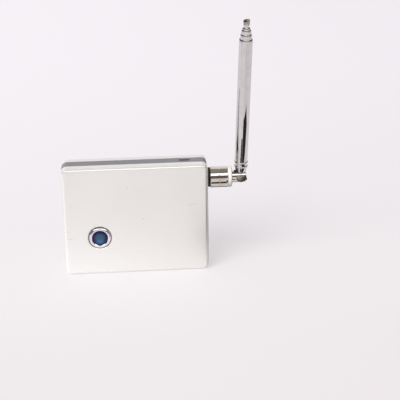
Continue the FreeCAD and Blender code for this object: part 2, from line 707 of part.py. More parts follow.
# ---------------------------------------------------------------- antenna plug
def coupling_nut():
    """The grooved sleeve, with entry slots and a ring channel for the studs, and a lip at its rear."""
    bore = JACK_BARREL_RADIUS + NUT_BORE_GAP
    channel = STUD_TIP_RADIUS + NUT_BORE_GAP
    channel_half = STUD_RADIUS + NUT_CHANNEL_GAP
    groove_floor = NUT_RADIUS - NUT_GROOVE_DEPTH
    outline = [
        (NUT_START, bore),
        (STUD_STATION - channel_half, bore),
        (STUD_STATION - channel_half, channel),
        (STUD_STATION + channel_half, channel),
        (STUD_STATION + channel_half, bore),
        (JACK_BARREL_END, bore),
        (JACK_BARREL_END, NUT_CHAMBER_RADIUS),
        (SPRING_END, NUT_CHAMBER_RADIUS),
        (SPRING_END, PLUG_SHANK_RADIUS + RUNNING_GAP),
        (NUT_END, PLUG_SHANK_RADIUS + RUNNING_GAP),
        (NUT_END, NUT_RADIUS - NUT_EDGE),
        (NUT_END - NUT_EDGE, NUT_RADIUS),
        (NUT_GROOVE_STATION + NUT_GROOVE_WIDTH / 2, NUT_RADIUS),
        (NUT_GROOVE_STATION + NUT_GROOVE_WIDTH / 2, groove_floor),
        (NUT_GROOVE_STATION - NUT_GROOVE_WIDTH / 2, groove_floor),
        (NUT_GROOVE_STATION - NUT_GROOVE_WIDTH / 2, NUT_RADIUS),
        (NUT_START + NUT_EDGE, NUT_RADIUS),
        (NUT_START, NUT_RADIUS - NUT_EDGE),
    ]
    nut = turned(outline, CONNECTOR)
    entry = block(
        (SIDE + NUT_START - SPARE, SIDE + STUD_STATION),
        (-channel, channel),
        (JACK_Z - channel_half, JACK_Z + channel_half),
    )
    return nut.cut(entry.common(rod(0, NUT_END, channel, CONNECTOR)))


def plug_body():
    """The plug's metal body: a sleeve inside the jack's barrel, a flange and a shank."""
    outline = [
        (PLUG_SLEEVE_START, PLUG_BORE_RADIUS),
        (NUT_END, PLUG_BORE_RADIUS),
        (NUT_END, PLUG_SHANK_RADIUS),
        (PLUG_FLANGE_END, PLUG_SHANK_RADIUS),
        (PLUG_FLANGE_END, PLUG_FLANGE_RADIUS),
        (PLUG_FLANGE_START, PLUG_FLANGE_RADIUS),
        (PLUG_FLANGE_START, PLUG_SLEEVE_RADIUS),
        (PLUG_SLEEVE_START, PLUG_SLEEVE_RADIUS),
    ]
    return turned(outline, CONNECTOR)


def plug_gasket():
    """The rubber ring between the jack's barrel and the plug's flange."""
    inner = PLUG_SLEEVE_RADIUS
    return tube(JACK_BARREL_END, PLUG_FLANGE_START, inner, JACK_BARREL_RADIUS, CONNECTOR)


def nut_spring():
    """The spring ring that pulls the nut tight on the studs."""
    start = (PLUG_FLANGE_END + SPRING_END - SPRING_THICKNESS) / 2
    inner = PLUG_SHANK_RADIUS + NUT_BORE_GAP
    return tube(start, start + SPRING_THICKNESS, inner, PLUG_FLANGE_RADIUS - NUT_BORE_GAP, CONNECTOR)


def plug_insulator():
    """The white insulator that carries the pin and clears the elbow's shank."""
    outline = [
        (PLUG_INSULATOR_START, PIN_RADIUS),
        (PIN_HEAD_START, PIN_RADIUS),
        (PIN_HEAD_START, PIN_HEAD_RADIUS),
        (CHAMBER_START, PIN_HEAD_RADIUS),
        (CHAMBER_START, SHANK_CHAMBER_RADIUS),
        (CHAMBER_END, SHANK_CHAMBER_RADIUS),
        (CHAMBER_END, PLUG_BORE_RADIUS),
        (PLUG_INSULATOR_START, PLUG_BORE_RADIUS),
    ]
    return turned(outline, CONNECTOR)


def centre_pin():
    """The pin that enters the jack's contact."""
    outline = [
        (PIN_START, 0),
        (CHAMBER_START, 0),
        (CHAMBER_START, PIN_HEAD_RADIUS),
        (PIN_HEAD_START, PIN_HEAD_RADIUS),
        (PIN_HEAD_START, PIN_RADIUS),
        (PIN_START + PIN_RADIUS, PIN_RADIUS),
        (PIN_START, PIN_RADIUS / 2),
    ]
    return turned(outline, CONNECTOR)


def contact_disc():
    """The springy disc between the pin and the turning shank."""
    return rod(CHAMBER_START, CHAMBER_START + CONTACT_DISC_THICKNESS, SHANK_RADIUS, CONNECTOR)


def antenna_insulator():
    """The pale bevelled ring that keeps the elbow off the plug's body and is its bearing."""
    bore = SHANK_RADIUS + RUNNING_GAP
    outline = [
        (CHAMBER_END, bore),
        (RING_END, bore),
        (RING_END, NUT_RADIUS - RING_BEVEL),
        (RING_END - RING_BEVEL, NUT_RADIUS),
        (RING_START, NUT_RADIUS),
        (RING_START, PLUG_BORE_RADIUS),
        (CHAMBER_END, PLUG_BORE_RADIUS),
    ]
    return turned(outline, CONNECTOR)


# ---------------------------------------------------------------- elbow
def elbow():
    """A round arm with a rounded end, slotted for the mast's tongue, on a shank that turns in the ring."""
    start = -ELBOW_REACH
    arm = rod(start, ELBOW_END_RADIUS, ELBOW_RADIUS, ARM_X)
    square = block((start, 0), (-ELBOW_RADIUS, ELBOW_RADIUS), (-ELBOW_RADIUS, ELBOW_RADIUS))
    square.Placement = ARM
    end = square.fuse(rod(-ELBOW_RADIUS, ELBOW_RADIUS, ELBOW_END_RADIUS, PIN))
    arm = arm.common(end)
    half = ELBOW_THICKNESS / 2
    for side in (-1, 1):
        low, high = sorted((side * half, side * (ELBOW_RADIUS + SPARE)))
        arm = arm.cut(rod(low, high, ELBOW_SPOT_RADIUS, PIN))
    slot = block(
        (-SLOT_BACK, ELBOW_END_RADIUS + SPARE),
        (-SLOT_WIDTH / 2, SLOT_WIDTH / 2),
        (-ELBOW_RADIUS - SPARE, ELBOW_RADIUS + SPARE),
    )
    slot.Placement = ARM
    arm = arm.cut(slot).cut(rod(-ELBOW_RADIUS, ELBOW_RADIUS, ELBOW_PIN_RADIUS, PIN))
    groove_end = CHAMBER_END - RUNNING_GAP
    groove_start = groove_end - CLIP_THICKNESS
    outline = [
        (SHANK_START, 0),
        (RING_END + SPARE, 0),
        (RING_END + SPARE, SHANK_RADIUS),
        (groove_end, SHANK_RADIUS),
        (groove_end, CLIP_GROOVE_RADIUS),
        (groove_start, CLIP_GROOVE_RADIUS),
        (groove_start, SHANK_RADIUS),
        (SHANK_START, SHANK_RADIUS),
    ]
    return arm.fuse(turned(outline, CONNECTOR))


def swivel_clip():
    """The open ring that keeps the elbow's shank in."""
    end = CHAMBER_END - RUNNING_GAP
    outer = SHANK_CHAMBER_RADIUS - RUNNING_GAP
    ring = tube(end - CLIP_THICKNESS, end, CLIP_GROOVE_RADIUS, outer, CONNECTOR)
    gap = block(
        (SIDE + CHAMBER_START, SIDE + CHAMBER_END),
        (-CLIP_GROOVE_RADIUS / 2, CLIP_GROOVE_RADIUS / 2),
        (JACK_Z, JACK_Z + SHANK_CHAMBER_RADIUS),
    )
    return ring.cut(gap)


def elbow_pin():
    """The pivot rivet through the arm's cheeks and the tongue, with a low dome at each end."""
    half = ELBOW_THICKNESS / 2
    crown = half + RIVET_HEAD_HEIGHT
    ball = (RIVET_HEAD_RADIUS ** 2 + RIVET_HEAD_HEIGHT ** 2) / (2 * RIVET_HEAD_HEIGHT)
    rivet = rod(-half, half, ELBOW_PIN_RADIUS, PIN)
    for side in (-1, 1):
        low, high = sorted((side * half, side * crown))
        dome = Part.makeSphere(ball)
        dome.Placement = PIN * Placement(Vector(0, 0, side * (crown - ball)), Rotation())
        rivet = rivet.fuse(rod(low, high, RIVET_HEAD_RADIUS, PIN).common(dome))
    return rivet


def elbow_washers():
    """Two friction washers between the tongue and the cheeks."""
    washers = []
    outer = SLOT_WIDTH / 2 - RUNNING_GAP
    for low in (-outer, outer - WASHER_THICKNESS):
        washers.append(tube(low, low + WASHER_THICKNESS, ELBOW_PIN_RADIUS, WASHER_RADIUS, PIN))
    return Part.makeCompound(washers)


# ---------------------------------------------------------------- mast
def mast_foot():
    """The tongue on the pivot, and the beaded foot that the lowest tube is pressed on."""
    half = TONGUE_THICKNESS / 2
    tongue = rod(-half, half, TONGUE_RADIUS, PIN)
    neck = block((-TONGUE_NECK / 2, TONGUE_NECK / 2), (-half, half), (0, FOOT_CONE_TOP))
    neck.Placement = MAST
    outline = [
        (FOOT_BOTTOM, 0),
        (FOOT_TOP + FOOT_SPIGOT, 0),
        (FOOT_TOP + FOOT_SPIGOT, SECTION_RADII[0] - SECTION_WALL),
        (FOOT_TOP, SECTION_RADII[0] - SECTION_WALL),
        (FOOT_TOP, FOOT_WAIST_RADIUS),
        (FOOT_CONE_TOP, FOOT_WAIST_RADIUS),
        (FOOT_BOTTOM, FOOT_BOTTOM_RADIUS),
    ]
    foot = turned(outline, MAST)
    for height in BEAD_HEIGHTS:
        bead = Part.makeTorus(FOOT_WAIST_RADIUS, BEAD_RADIUS)
        bead.Placement = MAST * Placement(Vector(0, 0, height), Rotation())
        foot = foot.fuse(bead)
    foot = foot.fuse(neck).fuse(tongue)
    return foot.cut(rod(-half - SPARE, half + SPARE, ELBOW_PIN_RADIUS + RUNNING_GAP, PIN))


def mast_tube(outer, bottom, rim, next_radius):
    """A thin tube whose rim is drawn and rolled in until it just clears the next section."""
    inner = outer - SECTION_WALL
    throat = next_radius + RUNNING_GAP
    outline = [
        (bottom, inner),
        (rim - RIM_DEPTH, inner),
        (rim - RIM_DEPTH, throat),
        (rim, throat),
        (rim, outer - RIM_DRAW - RIM_ROUND),
        (rim - RIM_ROUND, outer - RIM_DRAW),
        (rim - RIM_DEPTH, outer),
        (bottom, outer),
    ]
    return turned(outline, MAST)


def guide(radius, bottom, outer_tube_radius):
    """The sleeve on a section's lower end that slides in the tube round it and stops at its rim."""
    room = outer_tube_radius - SECTION_WALL - RUNNING_GAP
    return tube(bottom, bottom + GUIDE_LENGTH, radius, room, MAST)


def tip_rod(bottom):
    """The innermost rod."""
    return rod(bottom, TIP_CAP_BOTTOM + TIP_CAP_SOCKET, TIP_ROD_RADIUS, MAST)


def tip_cap():
    """The cap on the rod's end, with its top cut at a slant."""
    top = TIP_CAP_BOTTOM + TIP_CAP_HEIGHT
    outline = [
        (TIP_CAP_BOTTOM, TIP_ROD_RADIUS),
        (TIP_CAP_BOTTOM + TIP_CAP_SOCKET, TIP_ROD_RADIUS),
        (TIP_CAP_BOTTOM + TIP_CAP_SOCKET, 0),
        (top, 0),
        (top, TIP_CAP_RADIUS),
        (TIP_CAP_BOTTOM, TIP_CAP_RADIUS),
    ]
    size = 4 * TIP_CAP_RADIUS
    waste = block((-size, SPARE), (-size / 2, size / 2), (0, size))
    slant = Rotation(Vector(0, 1, 0), -TIP_CAP_SLANT)
    waste.Placement = MAST * Placement(Vector(TIP_CAP_RADIUS, 0, top), slant)
    return turned(outline, MAST).cut(waste)


def mast_pieces():
    """Every tube, guide and tip piece, by name."""
    pieces = {}
    radii = SECTION_RADII + (TIP_ROD_RADIUS,)
    bottom = FOOT_TOP
    for index, rim in enumerate(SECTION_RIMS):
        number = index + 1
        pieces[f"mast_tube_{number}"] = mast_tube(radii[index], bottom, rim, radii[index + 1])
        if index > 0:
            pieces[f"mast_guide_{number}"] = guide(radii[index], bottom, radii[index - 1])
        bottom = FIRST_INNER_BOTTOM + index * SECTION_STAGGER
    pieces["tip_rod"] = tip_rod(bottom)
    pieces["tip_guide"] = guide(TIP_ROD_RADIUS, bottom, SECTION_RADII[-1])
    pieces["tip_cap"] = tip_cap()
    return pieces


PIECE_MAKERS = (
    front_cover, back_cover, middle_frame, case_screws,
    button_bezel, button_seal, button_cap, button_stem, switch_plunger, switch_housing, status_led,
    main_board, board_screws, shield_can, radio_chips, capacitors, crystal_can,
    usb_shell, usb_tongue, usb_contacts, battery, battery_pad, battery_tabs,
    jack_body, jack_collar, jack_insulator, jack_contact,
    coupling_nut, plug_body, plug_gasket, nut_spring, plug_insulator, centre_pin, contact_disc,
    antenna_insulator, elbow, swivel_clip, elbow_pin, elbow_washers, mast_foot,
)

pieces = {maker.__name__: maker() for maker in PIECE_MAKERS}
pieces.update(mast_pieces())
os.makedirs("parts", exist_ok=True)
for name, shape in pieces.items():
    shape.exportStep(f"parts/{name}.step")
    print(f"{name}: {len(shape.Solids)} solid(s), {shape.Volume:.1f} mm3, valid {shape.isValid()}")
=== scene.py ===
# %% [markdown]
# # A wireless receiver unit with a telescopic antenna
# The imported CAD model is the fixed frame: every part's size and place comes from it. This lesson dresses
# it. First come a few helpers, then one finish for each material, then the pieces that deserve finer
# modelling than a CAD mesh gives, and last the camera, the floor and the light.

# %% Load the frame and note its size
import bpy
import json
import math
from mathutils import Matrix, Vector


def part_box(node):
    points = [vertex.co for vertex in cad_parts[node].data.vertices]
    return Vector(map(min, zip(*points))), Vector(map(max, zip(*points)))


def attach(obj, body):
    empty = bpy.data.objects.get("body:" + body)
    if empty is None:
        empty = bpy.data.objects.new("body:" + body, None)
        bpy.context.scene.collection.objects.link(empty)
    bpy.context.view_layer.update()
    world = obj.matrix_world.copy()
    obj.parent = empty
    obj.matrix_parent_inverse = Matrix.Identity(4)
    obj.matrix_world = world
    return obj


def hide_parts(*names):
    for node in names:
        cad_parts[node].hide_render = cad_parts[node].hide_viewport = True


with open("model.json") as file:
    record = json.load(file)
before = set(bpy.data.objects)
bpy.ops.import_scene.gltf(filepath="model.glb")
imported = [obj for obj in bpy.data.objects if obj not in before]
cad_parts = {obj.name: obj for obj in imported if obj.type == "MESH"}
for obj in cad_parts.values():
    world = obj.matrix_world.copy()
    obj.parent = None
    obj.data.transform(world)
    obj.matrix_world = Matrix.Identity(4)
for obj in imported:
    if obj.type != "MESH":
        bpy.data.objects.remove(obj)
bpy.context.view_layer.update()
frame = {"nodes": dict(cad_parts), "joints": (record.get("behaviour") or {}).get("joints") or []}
MM = 0.001

# %% [markdown]
# ## Shader maths as plain Python
# Node trees are slow to read when each sum is three lines of plumbing. A small class wraps a socket, so
# that `1 - mask` adds its own Math node. It is for numbers only, because a Math node turns a colour grey.

# %% A socket that understands + - * /
class Wire:
    """A shader socket; sums on it add Math nodes to its tree."""

    def __init__(self, tree, socket):
        self.tree = tree
        self.socket = socket

    def sum(self, operation, first, second=0.0):
        node = self.tree.nodes.new("ShaderNodeMath")
        node.operation = operation
        plug(self.tree, node.inputs[0], first)
        plug(self.tree, node.inputs[1], second)
        return Wire(self.tree, node.outputs[0])

    def __add__(self, other):
        return self.sum("ADD", self, other)

    def __radd__(self, other):
        return self.sum("ADD", other, self)

    def __sub__(self, other):
        return self.sum("SUBTRACT", self, other)

    def __rsub__(self, other):
        return self.sum("SUBTRACT", other, self)

    def __mul__(self, other):
        return self.sum("MULTIPLY", self, other)

    def __rmul__(self, other):
        return self.sum("MULTIPLY", other, self)

    def __truediv__(self, other):
        return self.sum("DIVIDE", self, other)

    def __rtruediv__(self, other):
        return self.sum("DIVIDE", other, self)

    def power(self, exponent):
        return self.sum("POWER", self, exponent)

    def size(self):
        return self.sum("ABSOLUTE", self)


def plug(tree, slot, value):
    """A link if the value is a wire, and otherwise the socket's own number."""
    if isinstance(value, Wire):
        tree.links.new(value.socket, slot)
    else:
        slot.default_value = value


print("Wire is ready")

# %% [markdown]
# ## One method for every other node
# Noise, ramps, mixes and mappings are all added the same way: a node's type, then its settings, then the
# values or wires of its sockets. Patterns that come back again and again get short names of their own. A
# Mix node has a set of sockets for each kind of data, so its colour sockets are known by their numbers.

# %% A tree that adds nodes
MIX_FACTOR, FIRST_COLOUR, SECOND_COLOUR, MIXED_COLOUR = 0, 6, 7, 2


class Nodes:
    """A node tree, and the coordinates that its patterns are measured in."""

    def __init__(self, tree, coordinates):
        self.tree = tree
        self.place = self.add("TexCoord", coordinates)

    def add(self, kind, output, settings=None, sockets=None):
        node = self.tree.nodes.new("ShaderNode" + kind)
        for setting, value in (settings or {}).items():
            setattr(node, setting, value)
        for socket, value in (sockets or {}).items():
            plug(self.tree, node.inputs[socket], value)
        return Wire(self.tree, node.outputs[output])

    def noise(self, scale, detail=2.0, place=None):
        sockets = {"Vector": place or self.place, "Scale": scale, "Detail": detail}
        return self.add("TexNoise", "Fac", None, sockets)

    def stretched(self, scale, at=(0.0, 0.0, 0.0), turn=(0.0, 0.0, 0.0)):
        sockets = {"Vector": self.place, "Location": at, "Rotation": turn, "Scale": scale}
        return self.add("Mapping", "Vector", None, sockets)

    def axis(self, name):
        return self.add("SeparateXYZ", name, None, {"Vector": self.place})

    def along(self, direction, origin):
        """How far a point lies from an origin in one direction, in metres."""
        sockets = {0: self.place, 1: direction}
        dot = self.add("VectorMath", "Value", {"operation": "DOT_PRODUCT"}, sockets)
        return dot - origin.dot(direction)

    def distance(self, centre, scale=(1.0, 0.0, 1.0)):
        """How far a point lies from a centre; an axis with a scale of 0 doesn't count."""
        spot = self.stretched(scale, [-part * size for part, size in zip(centre, scale)])
        return self.add("VectorMath", "Value", {"operation": "LENGTH"}, {"Vector": spot})

    def between(self, wire, low, high, start=0.0, end=1.0):
        """Turns low..high into start..end, smoothly and no further."""
        sockets = {"Value": wire, "From Min": low, "From Max": high, "To Min": start, "To Max": end}
        return self.add("MapRange", "Result", {"interpolation_type": "SMOOTHSTEP"}, sockets)

    def mix(self, mask, first, second):
        """Lays the second colour over the first, as far as the mask says."""
        first, second = (part if isinstance(part, Wire) else (*part, 1.0) for part in (first, second))
        sockets = {MIX_FACTOR: mask, FIRST_COLOUR: first, SECOND_COLOUR: second}
        return self.add("Mix", MIXED_COLOUR, {"data_type": "RGBA"}, sockets)


print("Nodes is ready")

# %% [markdown]
# ## A finish
# A finish is one material round one Principled shader, measured in the part's own coordinates so that the
# pattern stays put when the part moves. It also knows the CAD slot that it belongs to. Wear is built up as
# on the real thing: each layer covers the one below where its mask says.

# %% One material with layers
class Finish(Nodes):
    """A material being built around one Principled shader."""

    def __init__(self, name, slot=None, **sockets):
        self.name = name
        self.slot = slot or name
        self.material = bpy.data.materials.new(name + "_finish")
        self.material.use_nodes = True
        super().__init__(self.material.node_tree, "Object")
        self.shader = self.tree.nodes["Principled BSDF"]
        for socket, value in sockets.items():
            self.set(socket.replace("_", " "), value)

    def set(self, socket, value):
        plug(self.tree, self.shader.inputs[socket], value)

    def cover(self, mask, colour):
        """Lays a colour over the base colour that the finish has so far."""
        below = self.shader.inputs["Base Color"].links[0].from_socket
        self.set("Base Color", self.mix(mask, Wire(self.tree, below), colour))

    def bump(self, height, distance):
        sockets = {"Height": height, "Distance": distance, "Strength": 1.0}
        self.set("Normal", self.add("Bump", "Normal", None, sockets))


print("Finish is ready")

# %% [markdown]
# ## The case's paint
# The two shells are moulded and sprayed in a pale pearl paint: almost white, a little warm, satin rather
# than glossy. Close up, such paint has a fine flake, a slight orange-peel ripple and faint cloudiness from
# handling. The lower left is painted paler: painted light, standing for light that the floor throws back
# there. One flat colour would read as bare plastic, so each of these is a faint layer of its own, half
# metallic under a clear coat.

# %% Pearl paint
pearl = Finish("pearl_paint", Metallic=0.5, Coat_Weight=0.35, Coat_Roughness=0.12, Specular_IOR_Level=0.5)
cloud = pearl.between(pearl.noise(26.0, 3.0), 0.35, 0.65)
flake = pearl.between(pearl.noise(2600.0, 1.0), 0.3, 0.7)
ripple = pearl.noise(620.0, 2.0)
lowest = pearl.between(pearl.axis("Z"), 0.002, 0.050, 1.0, 0.0)
leftmost = pearl.between(pearl.axis("X"), -0.052, 0.035, 1.0, 0.0)
pearl.set("Base Color", pearl.mix(cloud, (0.838, 0.818, 0.792), (0.866, 0.848, 0.822)))
# painted light: the lower left of the case is made paler, standing for light that the floor throws back
pearl.cover(lowest * leftmost * 0.7, (0.960, 0.955, 0.935))
pearl.cover(flake * 0.05, (0.62, 0.61, 0.62))
print("pearl paint has", len(pearl.tree.nodes), "nodes so far")

# %% [markdown]
# ## Scuffs in the paint
# A thumb that slides over the case leaves hairlines, all in nearly one direction and only in patches. A
# noise that is squeezed one way far more than the other gives streaks, and a second, coarse noise says
# where they may show. A drawn picture of scratches would do the same, but it would repeat.

# %% Hairline scuffs
tilted = pearl.stretched((55.0, 400.0, 900.0), turn=(0.0, 0.16, 0.0))
streaks = pearl.between(pearl.noise(1.0, 4.0, tilted), 0.64, 0.72)
moved = pearl.stretched((1.0, 1.0, 1.0), at=(0.021, 0.0, 0.007))
patch = pearl.between(pearl.noise(34.0, 1.0, moved), 0.56, 0.68)
scuff = streaks * patch
pearl.cover(scuff * 0.6, (0.50, 0.49, 0.50))
print("scuffs added:", len(pearl.tree.nodes), "nodes")

# %% [markdown]
# ## Nicks in the paint
# A nick is a spot where the paint is dented and dirt has stayed. A few rare ones come from the middles of
# Voronoi cells, and five have a place of their own on the front. Their outline is a distance with a little
# noise added, because a clean circle would look like a printed dot.

# %% Nicks, gloss and relief
cells = pearl.add("TexVoronoi", "Distance", None, {"Vector": pearl.place, "Scale": 62.0, "Randomness": 1.0})
rare = pearl.between(pearl.noise(48.0, 0.0), 0.64, 0.66)
nick = pearl.between(cells, 0.03, 0.055, 1.0, 0.0) * rare
upper = ((4.8, 40.6, 0.75), (-5.5, 64.0, 0.55))
outer = ((0.5, 15.0, 0.6), (-44.6, 52.0, 0.7), (-47.5, 33.0, 0.6))
for sideways, height, size in upper + outer:
    spot = pearl.distance((sideways * MM, 0.0, height * MM), (1.0, 0.0, 1.25))
    ragged = spot + (pearl.noise(900.0, 2.0) - 0.5) * 0.0008
    nick = nick + pearl.between(ragged, 0.25 * size * MM, size * MM, 1.0, 0.0) * 0.5
pearl.cover(nick * 0.8, (0.28, 0.27, 0.28))
pearl.set("Roughness", 0.34 + scuff * 0.2 + cloud * 0.05)
pearl.bump(ripple * 0.5 + flake * 0.15 - nick * 2.0, 0.00003)
print("nicks with a place of their own:", len(upper + outer))

# %% [markdown]
# ## Plastics
# The grey band, the black collar and the ivory ring are plain mouldings. A mould is spark-eroded, which
# leaves a fine even grain, and handling polishes the high spots, so the colour and the gloss both wander.
# One function makes them all, since only the colour, the gloss and the size of the grain differ.

# %% Moulded plastics
def moulded(name, dark, light, roughness, grain=1500.0, depth=0.00003, **sockets):
    finish = Finish(name, **sockets)
    drift = finish.between(finish.noise(90.0, 3.0), 0.3, 0.7)
    pits = finish.noise(grain, 2.0)
    finish.set("Base Color", finish.mix(drift * 0.7 + pits * 0.3, dark, light))
    finish.set("Roughness", roughness + drift * 0.08)
    finish.bump(pits, depth)
    return finish


soot, coal = (0.004, 0.0035, 0.003), (0.009, 0.008, 0.007)
band = moulded("band_grey", (0.200, 0.197, 0.202), (0.254, 0.249, 0.255), 0.45)
black = moulded("black_plastic", soot, coal, 0.55, Specular_IOR_Level=0.25)
ivory = moulded("white_plastic", (0.80, 0.765, 0.715), (0.86, 0.83, 0.79), 0.3, depth=0.00001)
rubber = moulded("seal_rubber", (0.070, 0.065, 0.060), (0.125, 0.115, 0.107), 0.5, slot="black_plastic")
silicone = moulded("silicone", (0.30, 0.09, 0.06), (0.38, 0.13, 0.09), 0.5)
foam = moulded("foam", (0.07, 0.07, 0.07), (0.13, 0.13, 0.13), 0.85, grain=700.0, depth=0.0002)
guide = moulded("clear_guide", (0.70, 0.76, 0.82), (0.80, 0.85, 0.90), 0.12, Transmission_Weight=0.6)
plastics = (band, black, ivory, rubber, silicone, foam, guide)
print("plastics:", [made.name for made in plastics])

# %% [markdown]
# ## Metals
# Chrome on drawn tube shows faint lines along its length, nickel on a turned sleeve shows fine rings, and
# both pick up specks and greasy smears. A metal's colour is its reflectance, so most of its look is the
# room that it mirrors; the finish only breaks that mirror up a little. The shader's anisotropy could draw
# the lines, but it needs a tangent on every piece, and stretched noise works on all of them alike.

# %% Plated metals
def plated(name, dark, light, roughness, lines, slot=None):
    finish = Finish(name, slot, Metallic=1.0)
    drawn = finish.noise(1.0, 3.0, finish.stretched(lines))
    smear = finish.between(finish.noise(160.0, 3.0), 0.4, 0.7)
    speck = finish.between(finish.noise(1900.0, 1.0), 0.70, 0.76)
    finish.set("Base Color", finish.mix(smear * 0.6 + drawn * 0.4, light, dark))
    finish.cover(speck * 0.35, tuple(0.5 * part for part in dark))
    finish.set("Roughness", roughness + smear * 0.05 + speck * 0.15)
    finish.bump(drawn + smear * 0.2, 0.000004)
    return finish


upright, rings, even = (2600.0, 2600.0, 60.0), (3800.0, 90.0, 90.0), (900.0, 900.0, 900.0)
chrome = plated("bright_chrome", (0.63, 0.615, 0.61), (0.735, 0.715, 0.71), 0.06, upright)
nickel = plated("nickel", (0.58, 0.54, 0.48), (0.72, 0.69, 0.63), 0.06, rings)
steel = plated("steel", (0.42, 0.42, 0.43), (0.58, 0.58, 0.59), 0.28, even)
gold = plated("gold", (0.66, 0.48, 0.20), (0.82, 0.63, 0.30), 0.16, even)
mirror = plated("mirror_chrome", (0.80, 0.79, 0.83), (0.92, 0.91, 0.95), 0.05, even, "bright_chrome")
tip_metal = plated("tip_nickel", (0.25, 0.22, 0.19), (0.42, 0.385, 0.35), 0.16, even, "bright_chrome")
brass = plated("rivet_brass", (0.30, 0.275, 0.20), (0.62, 0.58, 0.45), 0.34, even, "steel")
metals = (chrome, nickel, steel, gold, mirror, tip_metal, brass)
print("metals:", [made.name for made in metals])

# %% [markdown]
# ## The lens
# The push-button's cap is a deep blue tinted lens: nearly black at its rim, where light has further to go,
# and slate blue in the middle. Light that falls in from above gathers near the lower edge. Real depth with
# a glass shader would do this too, but it needs many light paths, so the dark rim is painted shade and the
# bright patch low down is painted light, laid out by radius and by height.

# %% Blue lens
lens = Finish("blue_lens", Roughness=0.12, Coat_Weight=0.1, Coat_Roughness=0.05, Specular_IOR_Level=0.3)
button_low, button_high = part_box("button_cap")
button_centre = (button_low + button_high) / 2
cap_radius = (button_high.x - button_low.x) / 2
aside = (lens.axis("X") - button_centre.x) / cap_radius
above = (lens.axis("Z") - button_centre.z) / cap_radius
from_centre = (aside * aside + above * above).power(0.5)
# painted shade: the lens darkens towards its rim
rim = lens.between(from_centre + (lens.noise(500.0, 2.0) - 0.5) * 0.12, 0.35, 0.9)
lens.set("Base Color", lens.mix(rim, (0.023, 0.074, 0.138), (0.006, 0.004, 0.050)))
corners = lens.between(above, -0.15, -0.85) * lens.between(aside.size(), 0.1, 0.9)
lens.cover(corners * 0.5, (0.055, 0.03, 0.16))
# painted light: a brighter blue patch near the lower edge, where light gathers
gather = lens.between(above, 0.0, -0.45) * lens.between(above, -0.6, -0.95, 1.0, 0.0)
gather = gather * lens.between(aside.size(), 0.1, 0.7, 1.0, 0.0)
lens.cover(gather * 0.55, (0.045, 0.17, 0.40))
lens.bump(lens.noise(900.0, 2.0), 0.00001)
print("lens radius in mm:", round(cap_radius / MM, 2))

# %% [markdown]
# ## The board and the battery
# Inside, the board is green lacquer over copper tracks with dots of solder, and the cell is wrapped in
# crinkled foil. They only show with the case open, so a brick pattern stands for the tracks: modelled
# tracks would cost thousands of faces.

# %% Board lacquer and foil wrap
board = Finish("board_green", Roughness=0.35, Coat_Weight=0.4)
flat = board.stretched((300.0, 1.0, 300.0))
tracks = board.add("TexBrick", "Fac", {"offset": 0.37}, {"Vector": flat, "Scale": 1.4, "Mortar Size": 0.05})
solder = board.between(board.noise(420.0, 0.0), 0.66, 0.69)
board.set("Base Color", board.mix(board.noise(70.0), (0.010, 0.105, 0.045), (0.020, 0.150, 0.065)))
board.cover(tracks * 0.5, (0.05, 0.27, 0.12))
board.cover(solder, (0.55, 0.55, 0.54))
board.bump(tracks + solder, 0.00003)
dull, shiny = (0.36, 0.37, 0.41), (0.54, 0.55, 0.58)
wrap = moulded("cell_wrap", dull, shiny, 0.3, grain=260.0, depth=0.0002, Metallic=0.5)
print("board and wrap:", board.material.name, wrap.material.name)

# %% [markdown]
# ## Dressing the CAD parts
# Each CAD part comes with a plain material, and that material's name is its slot. Swapping the material
# in the slot dresses the part and leaves its mesh as it is, so nothing inside the case is modelled twice.

# %% Give every CAD part the finish of its slot
slots = (pearl, band, black, ivory, silicone, foam, guide, chrome, nickel, steel, gold, lens, board, wrap)
finishes = {made.name: made.material for made in slots}
for part in frame["nodes"].values():
    for slot in part.material_slots:
        slot.material = finishes[slot.material.name.split(".")[0]]
print("finished parts:", len(frame["nodes"]))

# %% [markdown]
# ## Where things are
# The round pieces stand on four axes: the connector's, the button's, the mast's and the elbow pin's. A
# place is a matrix whose Z runs along such an axis, so that a piece can be turned upright at the middle of
# the scene and then set down where it belongs. The joints give the mast's axis and the pin's.

# %% The four places
joints = {joint["name"]: joint for joint in frame["joints"]}
pivot = Vector(joints["antenna_elbow"]["pos_m"])
pin_axis = Vector(joints["antenna_elbow"]["axis"]).normalized()
mast_axis = Vector(joints["section_2_slide"]["axis"]).normalized()


def place_along(axis, origin, across):
    """A place whose Z runs along an axis and whose Y runs across it."""
    turn = Matrix((across.cross(axis), across, axis)).transposed()
    return Matrix.Translation(origin) @ turn.to_4x4()


nut_low, nut_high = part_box("coupling_nut")
side_of_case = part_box("front_cover")[1].x
nut_centre = Vector((side_of_case, 0, (nut_low.z + nut_high.z) / 2))
connector = place_along(Vector((1, 0, 0)), nut_centre, Vector((0, 1, 0)))
button = place_along(Vector((0, 1, 0)), Vector((button_centre.x, 0, button_centre.z)), Vector((0, 0, -1)))
mast = place_along(mast_axis, pivot, pin_axis)
pin = place_along(pin_axis, pivot, Vector((1, 0, 0)))
print("the elbow turns about", [round(part / MM, 2) for part in pivot], "mm")

# %% [markdown]
# ## Measuring a part
# A turned piece is drawn in stations: how far along its axis, and how far out. The CAD part that it stands
# for gives its first station, its last one and its radius. Typed sizes would do as well until the frame
# changes; measured ones can't drift from it.

# %% Reach along an axis
def reach(node, place):
    """A CAD part's lowest and highest station and its greatest radius, in mm, in a place."""
    inverse = place.inverted()
    corners = [inverse @ vertex.co for vertex in frame["nodes"][node].data.vertices]
    heights = [corner.z / MM for corner in corners]
    return min(heights), max(heights), max(corner.xy.length for corner in corners) / MM


print("nut runs from and to, and its radius:", [round(size, 2) for size in reach("coupling_nut", connector)])

